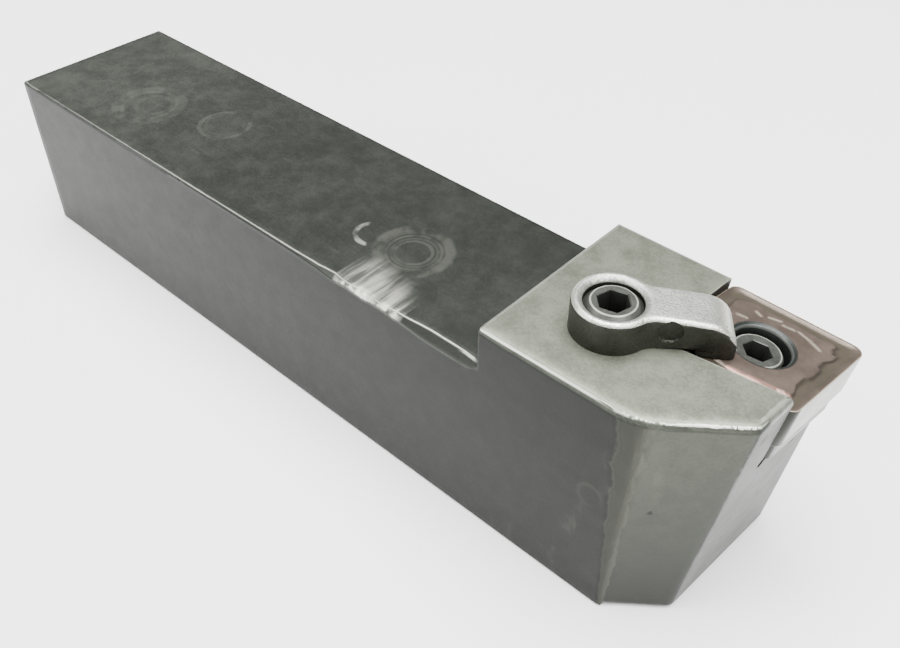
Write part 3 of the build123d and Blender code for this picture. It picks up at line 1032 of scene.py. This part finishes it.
def clamp_masks(own, normals):
    """The clamp's rubbed top, painted lighter where the light falls, and its polished rim with a painted
    highlight, from places in its own frame.
    """
    reach, _, height = own.T
    facing = normals[:, 2]
    radius = np.hypot(own[:, 0], own[:, 1])
    below = CLAMP_TOP - CLAMP_FALL * np.clip(reach / CLAMP_FALL_REACH, 0, 1.4) ** 2 - height
    top = smooth(facing, 0.35, 0.75) * (1 - smooth(below, 1.0, 2.2))
    nose = smooth(reach, 13.4, 15.5) * smooth(height, -1.5, 1.5)
    top = np.maximum(top, nose * smooth(facing + normals[:, 0] * 0.3, 0.25, 0.6))
    rim = smooth(facing, 0.3, 0.5) * (1 - smooth(facing, 0.93, 0.985)) * (1 - smooth(below, 0.8, 1.6))
    from_dimple = np.linalg.norm(own - np.array(DIMPLE), axis=1)
    clear = np.maximum(smooth(from_dimple, DIMPLE_RADIUS, DIMPLE_RADIUS + 0.3), height > 3.9)
    return {"top": top * clear, "rim": rim * (radius > CLAMP_BORE + 0.2) * clear}


def build_clamp(sizes, look):
    """Forged clamp with an eased lip, an uneven skin and its pad run on to the pocket's walls."""
    work = node_mesh("clamp")
    low, high = (Vector(c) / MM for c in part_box("clamp"))
    for axis in range(3):
        slice_grid(work, axis, steps(low[axis], high[axis], sizes.clamp_grid))
    places, normals = arrays(work)
    turn = Matrix.Rotation(-CLAMP_TURN, 3, "Z")
    own = (places - np.array(SCREW_AXIS)) @ np.array(turn).T
    values = clamp_masks(own, normals)
    reach, _, height = own.T
    radius = np.hypot(own[:, 0], own[:, 1])
    lip = np.clip((sizes.lip_radius - radius) / (sizes.lip_radius - CLAMP_BORE), 0, 1) * (height > 2.0)
    places[:, 2] -= sizes.lip_drop * lip**2
    skin = noise_at(places, 1.6, 4) * 0.6 + noise_at(places, 0.6, 5) * 0.4
    hollow = np.where(radius > CLAMP_BORE + 0.1, sizes.forge_depth * (skin - 0.7), 0)
    places += normals * np.minimum(hollow, 0)[:, None]
    pad_back = (np.abs(reach - sizes.pad_start) < 0.03) & (height < -0.03)
    backward = np.array((-math.cos(CLAMP_TURN), -math.sin(CLAMP_TURN), 0.15))
    places += (pad_reach(places) * pad_back)[:, None] * backward
    under_arm = (reach > ARCH_START) & (reach < sizes.pad_start - 0.03)
    arch = (height < 0.45) & (normals[:, 2] < -0.3) & under_arm
    lowered = smooth(reach, 8.0, 12.0) * (height - 0.05)
    places[:, 2] -= np.where(arch & (height > 0.05), lowered, 0)
    set_places(work, places)
    return finished(work, "forged_top_clamp", clamp_finish(look), "clamp", "clamp", values, 40)


# --------------------------------------------------------------- pin and screw


def thread_tree():
    """Geometry Nodes rule for a V thread: a grid rolled round the axis, its radius following the pitch."""
    tree = bpy.data.node_groups.new("V thread", "GeometryNodeTree")
    kinds = {
        "Geometry": "NodeSocketGeometry",
        "Major radius": "NodeSocketFloat",
        "Thread depth": "NodeSocketFloat",
        "Pitch": "NodeSocketFloat",
        "Length": "NodeSocketFloat",
        "Sides": "NodeSocketInt",
        "Rows": "NodeSocketInt",
        "Finish": "NodeSocketMaterial",
    }
    for label, kind in kinds.items():
        tree.interface.new_socket(label, in_out="INPUT", socket_type=kind)
    tree.interface.new_socket("Geometry", in_out="OUTPUT", socket_type="NodeSocketGeometry")
    given = group_inputs(tree)
    size = {"Size X": 1.0, "Size Y": 1.0}
    counts = {"Vertices X": given["Sides"] + 1, "Vertices Y": given["Rows"]}
    grid = put(tree, "GeometryNodeMeshGrid", {**size, **counts})
    across, along, _ = parts(put(tree, "GeometryNodeInputPosition"))
    across = across + 0.5
    along = (along + 0.5) * given["Length"]
    tooth = (along / given["Pitch"] + across).calc("PINGPONG", 0.5)
    cut = tooth.calc("MULTIPLY", 2.0, clamp=True) * given["Thread depth"]
    from_start = along.calc("DIVIDE", given["Pitch"], clamp=True)
    to_end = (given["Length"] - along).calc("DIVIDE", given["Pitch"], clamp=True)
    radius = given["Major radius"] - cut * (from_start * to_end)
    angle = across * (2 * math.pi)
    rolled = joined(radius * angle.calc("COSINE"), radius * angle.calc("SINE"), along * -1.0)
    shaped = put(tree, "GeometryNodeSetPosition", {"Geometry": grid, "Position": rolled})
    closed = put(tree, "GeometryNodeMergeByDistance", {"Geometry": shaped, "Distance": 0.000001})
    real = put(tree, "GeometryNodeRealizeInstances", {"Geometry": closed})
    painted = put(tree, "GeometryNodeSetMaterial", {"Geometry": real, "Material": given["Finish"]})
    fill(tree.nodes.new("NodeGroupOutput"), {0: painted})
    return tree


def thread_mesh(thread, sides, material):
    """Plain mesh of one thread, from the thread rule, hanging down from the origin."""
    rows_per_turn = 12
    tree = bpy.data.node_groups.get("V thread") or thread_tree()
    blank = bpy.data.objects.new("thread_blank", bpy.data.meshes.new("thread_blank"))
    bpy.context.scene.collection.objects.link(blank)
    modifier = blank.modifiers.new("thread", "NODES")
    modifier.node_group = tree
    wanted = {
        "Major radius": thread["radius"] * MM,
        "Thread depth": thread["depth"] * MM,
        "Pitch": thread["pitch"] * MM,
        "Length": thread["length"] * MM,
        "Sides": sides,
        "Rows": int(thread["length"] / thread["pitch"] * rows_per_turn) + 1,
        "Finish": material,
    }
    for item in tree.interface.items_tree:
        if item.in_out == "INPUT" and item.name in wanted:
            modifier[item.identifier] = wanted[item.name]
    blank.update_tag()
    graph = bpy.context.evaluated_depsgraph_get()
    mesh = bpy.data.meshes.new_from_object(blank.evaluated_get(graph))
    blank.modifiers.clear()
    bpy.data.objects.remove(blank)
    return mesh


def lathe_rings(work, profile, sides):
    """Rings of vertices about z for a list of (radius, z)."""
    turns = [2 * math.pi * i / sides for i in range(sides)]
    return [[work.verts.new((r * math.cos(a), r * math.sin(a), z)) for a in turns] for r, z in profile]


def hexagon_ring(work, across, height, sides, ease):
    """Ring of vertices on a hexagon, with the same count and turn as a round ring."""
    corner = math.pi / 3
    points = []
    for i in range(sides):
        angle = 2 * math.pi * i / sides
        local = (angle + corner / 2) % corner - corner / 2
        radius = across / 2 / math.cos(local) - ease
        points.append(work.verts.new((radius * math.cos(angle), radius * math.sin(angle), height)))
    return points


def bridge(work, first, second):
    """Faces between two rings of equal count."""
    count = len(first)
    for i in range(count):
        j = (i + 1) % count
        work.faces.new((first[i], first[j], second[j], second[i]))


def build_fastener(name, body, node, origin, up, shape, look):
    """Socket-headed fastener: lathed head with a hexagon socket, joined to its rolled thread."""
    plain, thread, socket = shape
    material = bpy.data.materials.get("dull fastener steel") or fastener_finish(look)
    sides = 96
    head_top = plain[0][1]
    across, mouth = socket["across"], socket["mouth"]
    floor = head_top - socket["depth"]
    work = bmesh.new()
    rings = lathe_rings(work, plain, sides)
    for first, second in zip(rings, rings[1:]):
        bridge(work, first, second)
    inner = [
        hexagon_ring(work, across, head_top, sides, -mouth),
        hexagon_ring(work, across, head_top - mouth, sides, 0),
        hexagon_ring(work, across, floor, sides, 0),
        lathe_rings(work, [(across * 0.42, floor - 0.05)], sides)[0],
    ]
    for outer, deeper in zip([rings[0]] + inner, inner):
        bridge(work, deeper, outer)
    tip = work.verts.new((0, 0, floor - 0.7))
    for i in range(sides):
        work.faces.new((tip, inner[-1][(i + 1) % sides], inner[-1][i]))
    mesh = thread_mesh(thread, sides, material)
    mesh.transform(Matrix.Translation((0, 0, thread["start"])) @ Matrix.Scale(1 / MM, 4))
    work.from_mesh(mesh)
    bpy.data.meshes.remove(mesh)
    end = thread["start"] - thread["length"]
    point = (thread["radius"] - thread["bevel"], end - thread["bevel"])
    tail = lathe_rings(work, [(thread["radius"], end), point], sides)
    bridge(work, tail[0], tail[1])
    work.faces.new(tail[1])
    bmesh.ops.remove_doubles(work, verts=work.verts, dist=0.002)
    bmesh.ops.recalc_face_normals(work, faces=work.faces)
    places, _ = arrays(work)
    radius = np.hypot(places[:, 0], places[:, 1])
    recess = (radius < across * 0.62) & (places[:, 2] < head_top - 0.4)
    rim = np.abs(np.hypot(radius - plain[1][0], places[:, 2] - plain[1][1]))
    values = {"recess": recess.astype(float), "edge_mm": np.minimum(rim, FAR)}
    back = up.orthogonal().normalized()
    turn = Matrix((back, up.cross(back), up)).transposed().to_4x4()
    bmesh.ops.transform(work, matrix=Matrix.Translation(origin) @ turn, verts=work.verts)
    return finished(work, name, material, body, node, values, 25)


def build_pin(look):
    """Lock pin, from its bevelled head down to its thread."""
    head = 7.1 / 2
    shank = 6.35 / 2
    top = -1.1
    under = -INSERT_THICKNESS
    neck = 3.3
    bevel = 0.35
    length = 22.53
    plain = [
        (head - 0.75, top),
        (head - bevel, top),
        (head, top - bevel),
        (head, under + 0.02),
        (shank, under),
        (shank, under - neck),
    ]
    thread = {
        "radius": shank,
        "depth": 0.5,
        "pitch": 0.907,
        "start": under - neck,
        "length": length + under - neck - bevel,
        "bevel": bevel,
    }
    socket = {"across": 3.57, "depth": 3.4, "mouth": 0.12}
    shape = (plain, thread, socket)
    return build_fastener("lock_pin_dressed", "pin", "lock_pin", PIN_AXIS, INSERT_UP, shape, look)


def build_screw(look):
    """Clamp screw, threaded from its bevelled upper end down into the head."""
    top = 4.5
    radius = 7.94 / 2
    bevel = 0.95
    shoulder = 1.1
    length = 18.5
    plain = [
        (radius - 1.15, top),
        (radius - bevel, top),
        (radius, top - bevel),
        (radius, top - shoulder),
    ]
    thread = {
        "radius": radius,
        "depth": 0.62,
        "pitch": 1.058,
        "start": top - shoulder,
        "length": length - shoulder - bevel,
        "bevel": bevel,
    }
    socket = {"across": 3.97, "depth": 5.0, "mouth": 0.15}
    up = Vector((0, 0, 1))
    shape = (plain, thread, socket)
    return build_fastener("clamp_screw_dressed", "screw", "clamp_screw", SCREW_AXIS, up, shape, look)


# ------------------------------------------------------------------- the stage


def build_bench(half_width):
    """White bench top, a single square."""
    mesh = bpy.data.meshes.new("bench_top")
    corners = [(x * half_width, y * half_width, 0) for x, y in ((-1, -1), (1, -1), (1, 1), (-1, 1))]
    mesh.from_pydata(corners, [], [(0, 1, 2, 3)])
    material, place = new_finish("white bench")
    paper = mixed(grain(place, 30, 2), (0.93, 0.93, 0.93, 1), (0.95, 0.95, 0.95, 1))
    surface = material.node_tree.nodes["Principled BSDF"]
    fill(surface, {"Base Color": paper, "Roughness": 0.85, "Specular IOR Level": 0.1})
    mesh.materials.append(material)
    bench = bpy.data.objects.new("bench_top", mesh)
    bpy.context.scene.collection.objects.link(bench)


def build_lights(stage):
    """Even room light and three soft lights."""
    world = bpy.data.worlds.new("soft room")
    bpy.context.scene.world = world
    world.use_nodes = True
    fill(world.node_tree.nodes["Background"], {"Color": (1, 1, 1, 1), "Strength": stage.room_light})
    area_light("key_softbox", (0.05, 0.0, 0.8), (0.02, 0, 0.02), 0.7, stage.key_light)
    area_light("side_softbox", (-0.35, -0.45, 0.35), (-0.04, 0, 0.01), 0.35, stage.side_light)
    area_light("front_softbox", (0.5, -0.1, 0.5), (0.09, 0, 0.02), 0.35, stage.front_light)


def area_light(name, place, aim, size, energy):
    """Square soft light turned towards a point."""
    light = bpy.data.lights.new(name, "AREA")
    light.size = size
    light.energy = energy
    lamp = bpy.data.objects.new(name, light)
    bpy.context.scene.collection.objects.link(lamp)
    lamp.location = place
    lamp.rotation_euler = (Vector(aim) - Vector(place)).to_track_quat("-Z", "Y").to_euler()


def build_camera(stage):
    """Camera that looks down on the head from above its plain side."""
    camera = bpy.data.cameras.new("bench_camera")
    camera.sensor_width = 36
    camera.lens = stage.lens
    camera.clip_start = 0.01
    eye = bpy.data.objects.new("bench_camera", camera)
    bpy.context.scene.collection.objects.link(eye)
    eye.matrix_world = Matrix.LocRotScale(Vector(stage.camera_place) * MM, stage.camera_turn, None)
    bpy.context.scene.camera = eye


# ------------------------------------------------------------------ the add-on


def size_field(name, note, default, **limits):
    """Property for a size or a strength."""
    return FloatProperty(name=name, description=note, default=default, **limits)


def colour_field(name, note, red, green, blue):
    """Property for a colour."""
    default = (red, green, blue, 1)
    return FloatVectorProperty(
        name=name, description=note, default=default, size=4, subtype="COLOR", min=0.0, max=1.0
    )


class HolderSizes(bpy.types.PropertyGroup):
    """Sizes of the wear and of the refined shapes, in millimetres."""

    grid: size_field("Grid", "Gap between cuts of the holder's mesh", 1.0, min=0.4)
    clamp_grid: size_field("Clamp grid", "Gap between cuts of the clamp's mesh", 0.45, min=0.2)
    edge_round: size_field("Edge round", "Largest rounding that still wears as an edge", 2.0)
    rim_reach: size_field("Rim reach", "Width of the eased rim on the head's top", 1.8)
    rim_drop: size_field("Rim drop", "Fall of the head's top at its rim", 0.3)
    foot_sharpness: size_field("Foot", "Share of the foot's rounding kept", 0.4)
    wear_depth: size_field("Wear depth", "Depth of the worn corner", 0.05)
    lip_radius: size_field("Lip radius", "Radius where the boss starts to fall to its bore", 4.9)
    lip_drop: size_field("Lip drop", "Fall of the boss at its bore", 0.6)
    forge_depth: size_field("Forged skin", "Depth of the uneven forged skin", 0.035)
    pad_start: size_field("Pad start", "Reach where the clamp's pad begins", 13.2)
    groove_land: size_field("Land", "Flat land along the cutting edge", 0.3)
    groove_width: size_field("Groove width", "Least width of the chip groove", 1.9)
    groove_depth: size_field("Groove depth", "Depth of the chip groove", 0.28)
    groove_wave: size_field("Groove wave", "Extra width of the groove in its scallops", 0.6)
    hole_round: size_field("Hole rounding", "Rounding of the insert's hole", 0.8)


class HolderLook(bpy.types.PropertyGroup):
    """Colours of the metals and of the coating."""

    oxide_dark: colour_field("Oxide dark", "Dark blotches of the holder's skin", 0.05, 0.056, 0.047)
    oxide_light: colour_field("Oxide light", "Light blotches of the holder's skin", 0.085, 0.092, 0.078)
    # Dark oxide of the upright sides, deepened as painted shade.
    upright_shade_tone: colour_field("Sides", "Dark oxide of the upright sides, deepened as painted shade", 0.019, 0.02, 0.0175)
    # Painted shade, the darkest tone.
    painted_shade_tone: colour_field("Deep", "Painted darkest shade", 0.004, 0.0045, 0.004)
    head_dark: colour_field("Head dark", "Dark blotches of the cleaner head", 0.125, 0.135, 0.105)
    head_light: colour_field("Head light", "Light blotches of the cleaner head", 0.19, 0.2, 0.158)
    worn_tone: colour_field("Worn", "Pale brown worn corner", 0.15, 0.15, 0.118)
    rubbed_steel: colour_field("Rubbed steel", "Lightly rubbed steel", 0.25, 0.25, 0.22)
    ground_dark: colour_field("Ground dark", "Dark streaks of the ground front", 0.085, 0.09, 0.082)
    ground_light: colour_field("Ground light", "Light streaks of the ground front", 0.125, 0.13, 0.122)
    # Bare rubbed steel, also used for painted highlights.
    bare_steel_and_highlight: colour_field("Bright steel", "Bare rubbed steel and painted highlights", 0.62, 0.62, 0.56)
    pit_and_shade_tone: colour_field("Pits and shade", "Dark pits and shadowed lines", 0.012, 0.013, 0.011)
    coat_dark: colour_field("Coating dark", "Dark areas of the insert's coating", 0.082, 0.062, 0.05)
    coat_light: colour_field("Coating light", "Light areas of the insert's coating", 0.135, 0.105, 0.085)
    # Painted shade down in the chip groove.
    groove_shade_tone: colour_field("Groove", "Painted shade down in the chip groove", 0.07, 0.062, 0.044)
    # Painted shade on the chip groove's inner wall.
    wall_shade_tone: colour_field("Groove wall", "Painted shade on the chip groove's inner wall", 0.03, 0.024, 0.02)
    # Painted highlight strokes on the coating.
    stroke_highlight_tone: colour_field("Strokes", "Painted highlight strokes on the coating", 0.44, 0.39, 0.31)
    rosy_highlight_tone: colour_field("Rosy strip", "Pink strip along the pocket's wall", 0.36, 0.2, 0.16)
    # Worn cutting edge and painted highlight along the face's edges.
    edge_wear_and_highlight_tone: colour_field("Cutting edge", "Worn cutting edge and painted highlight along the face's edges", 0.46, 0.4, 0.3)
    bore_shade_tone: colour_field("Hole dark", "Dark mouth of the insert's hole", 0.02, 0.023, 0.021)
    bore_light: colour_field("Hole light", "Lit ring in the insert's hole", 0.1, 0.108, 0.1)
    flank_dark: colour_field("Flank dark", "Dark areas of the insert's flanks", 0.3, 0.31, 0.29)
    flank_light: colour_field("Flank light", "Light areas of the insert's flanks", 0.42, 0.43, 0.41)
    # Painted shade down the insert's corner.
    corner_shade_tone: colour_field("Corner shade", "Painted shade down the insert's corner", 0.012, 0.013, 0.009)
    seat_dark: colour_field("Seat dark", "Dark areas of the seat", 0.13, 0.13, 0.125)
    seat_light: colour_field("Seat light", "Light areas of the seat", 0.22, 0.22, 0.21)
    forged_dark: colour_field("Forged dark", "Dark areas of the clamp's sides", 0.024, 0.025, 0.02)
    forged_light: colour_field("Forged light", "Light areas of the clamp's sides", 0.056, 0.058, 0.049)
    satin_dark: colour_field("Satin dark", "Dark areas of the clamp's top", 0.3, 0.305, 0.28)
    satin_light: colour_field("Satin light", "Light areas of the clamp's top", 0.46, 0.465, 0.435)
    fastener_dark: colour_field("Fastener dark", "Dark areas of the pin and screw", 0.048, 0.05, 0.044)
    fastener_light: colour_field("Fastener light", "Light areas of the pin and screw", 0.092, 0.096, 0.085)
    socket_shade_tone: colour_field("Socket", "Darkened hexagon sockets", 0.006, 0.006, 0.0055)


class BenchSetup(bpy.types.PropertyGroup):
    """Bench, lights and camera."""

    bench: size_field("Bench", "Half the width of the bench", 3.0, unit="LENGTH")
    room_light: size_field("Room light", "Strength of the even light", 0.45)
    key_light: size_field("Key light", "Power of the upper light", 26.0, unit="POWER")
    side_light: size_field("Side light", "Power of the side light", 3.0, unit="POWER")
    front_light: size_field("Front light", "Power of the front light", 3.0, unit="POWER")
    lens: size_field("Lens", "Focal length in millimetres", 38.6446)
    camera_place: FloatVectorProperty(
        name="Camera",
        description="Place of the camera in millimetres",
        default=(117.93, -87.13, 121.41),
        size=3,
    )
    camera_turn: FloatVectorProperty(
        name="Camera turn",
        description="Turn of the camera about x, y and z",
        default=[math.radians(angle) for angle in (48.42218, -0.46379, 42.336)],
        size=3,
        subtype="EULER",
        unit="ROTATION",
    )


class TOOLHOLDER_OT_groups(bpy.types.Operator):
    """Make the shader groups that the finishes share"""

    bl_idname = "toolholder.groups"
    bl_label = "Shared Finish Groups"

    def execute(self, context):
        shader_groups()
        return {"FINISHED"}


class TOOLHOLDER_OT_holder(bpy.types.Operator):
    """Dress the holder's shank and head"""

    bl_idname = "toolholder.holder"
    bl_label = "Holder"

    def execute(self, context):
        build_holder(context.scene.holder_sizes, context.scene.holder_look)
        return {"FINISHED"}


class TOOLHOLDER_OT_seat(bpy.types.Operator):
    """Give the seat its ground carbide finish"""

    bl_idname = "toolholder.seat"
    bl_label = "Seat"

    def execute(self, context):
        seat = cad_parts["shim_seat"]
        if not seat.material_slots:
            raise RuntimeError("the seat has no material slot")
        material = seat_finish(context.scene.holder_look)
        for slot in seat.material_slots:
            slot.material = material
        return {"FINISHED"}


class TOOLHOLDER_OT_insert(bpy.types.Operator):
    """Make the coated insert with its chip groove"""

    bl_idname = "toolholder.insert"
    bl_label = "Insert"

    def execute(self, context):
        build_insert(context.scene.holder_sizes, context.scene.holder_look)
        return {"FINISHED"}


class TOOLHOLDER_OT_clamp(bpy.types.Operator):
    """Dress the forged clamp"""

    bl_idname = "toolholder.clamp"
    bl_label = "Clamp"

    def execute(self, context):
        build_clamp(context.scene.holder_sizes, context.scene.holder_look)
        return {"FINISHED"}


class TOOLHOLDER_OT_fasteners(bpy.types.Operator):
    """Make the lock pin and the clamp screw with their threads"""

    bl_idname = "toolholder.fasteners"
    bl_label = "Pin and Screw"

    def execute(self, context):
        build_pin(context.scene.holder_look)
        build_screw(context.scene.holder_look)
        return {"FINISHED"}


class TOOLHOLDER_OT_stage(bpy.types.Operator):
    """Set the bench, the lights and the camera"""

    bl_idname = "toolholder.stage"
    bl_label = "Bench and Lights"

    def execute(self, context):
        build_bench(context.scene.bench_setup.bench)
        build_lights(context.scene.bench_setup)
        build_camera(context.scene.bench_setup)
        return {"FINISHED"}


class TOOLHOLDER_PT_panel(bpy.types.Panel):
    """Steps and settings of the tool holder"""

    bl_idname = "TOOLHOLDER_PT_panel"
    bl_label = "Tool Holder"
    bl_space_type = "VIEW_3D"
    bl_region_type = "UI"
    bl_category = "Tool Holder"

    def draw(self, context):
        for step in STEPS:
            self.layout.operator(step.bl_idname)
        for group in context.scene.holder_sizes, context.scene.holder_look, context.scene.bench_setup:
            box = self.layout.box()
            for name in group.bl_rna.properties.keys():
                if name not in {"rna_type", "name"}:
                    box.prop(group, name)


STEPS = (
    TOOLHOLDER_OT_groups,
    TOOLHOLDER_OT_holder,
    TOOLHOLDER_OT_seat,
    TOOLHOLDER_OT_insert,
    TOOLHOLDER_OT_clamp,
    TOOLHOLDER_OT_fasteners,
    TOOLHOLDER_OT_stage,
)
CLASSES = (HolderSizes, HolderLook, BenchSetup) + STEPS + (TOOLHOLDER_PT_panel,)


def register():
    """Adds the classes and their settings to the scene."""
    for cls in CLASSES:
        bpy.utils.register_class(cls)
    bpy.types.Scene.holder_sizes = PointerProperty(type=HolderSizes)
    bpy.types.Scene.holder_look = PointerProperty(type=HolderLook)
    bpy.types.Scene.bench_setup = PointerProperty(type=BenchSetup)


def unregister():
    """Takes the settings and the classes away again."""
    del bpy.types.Scene.bench_setup
    del bpy.types.Scene.holder_look
    del bpy.types.Scene.holder_sizes
    for cls in reversed(CLASSES):
        bpy.utils.unregister_class(cls)


def main():
    """Runs every step in order."""
    register()
    bpy.ops.toolholder.groups()
    bpy.ops.toolholder.holder()
    bpy.ops.toolholder.seat()
    bpy.ops.toolholder.insert()
    bpy.ops.toolholder.clamp()
    bpy.ops.toolholder.fasteners()
    bpy.ops.toolholder.stage()


if __name__ == "__main__":
    main()
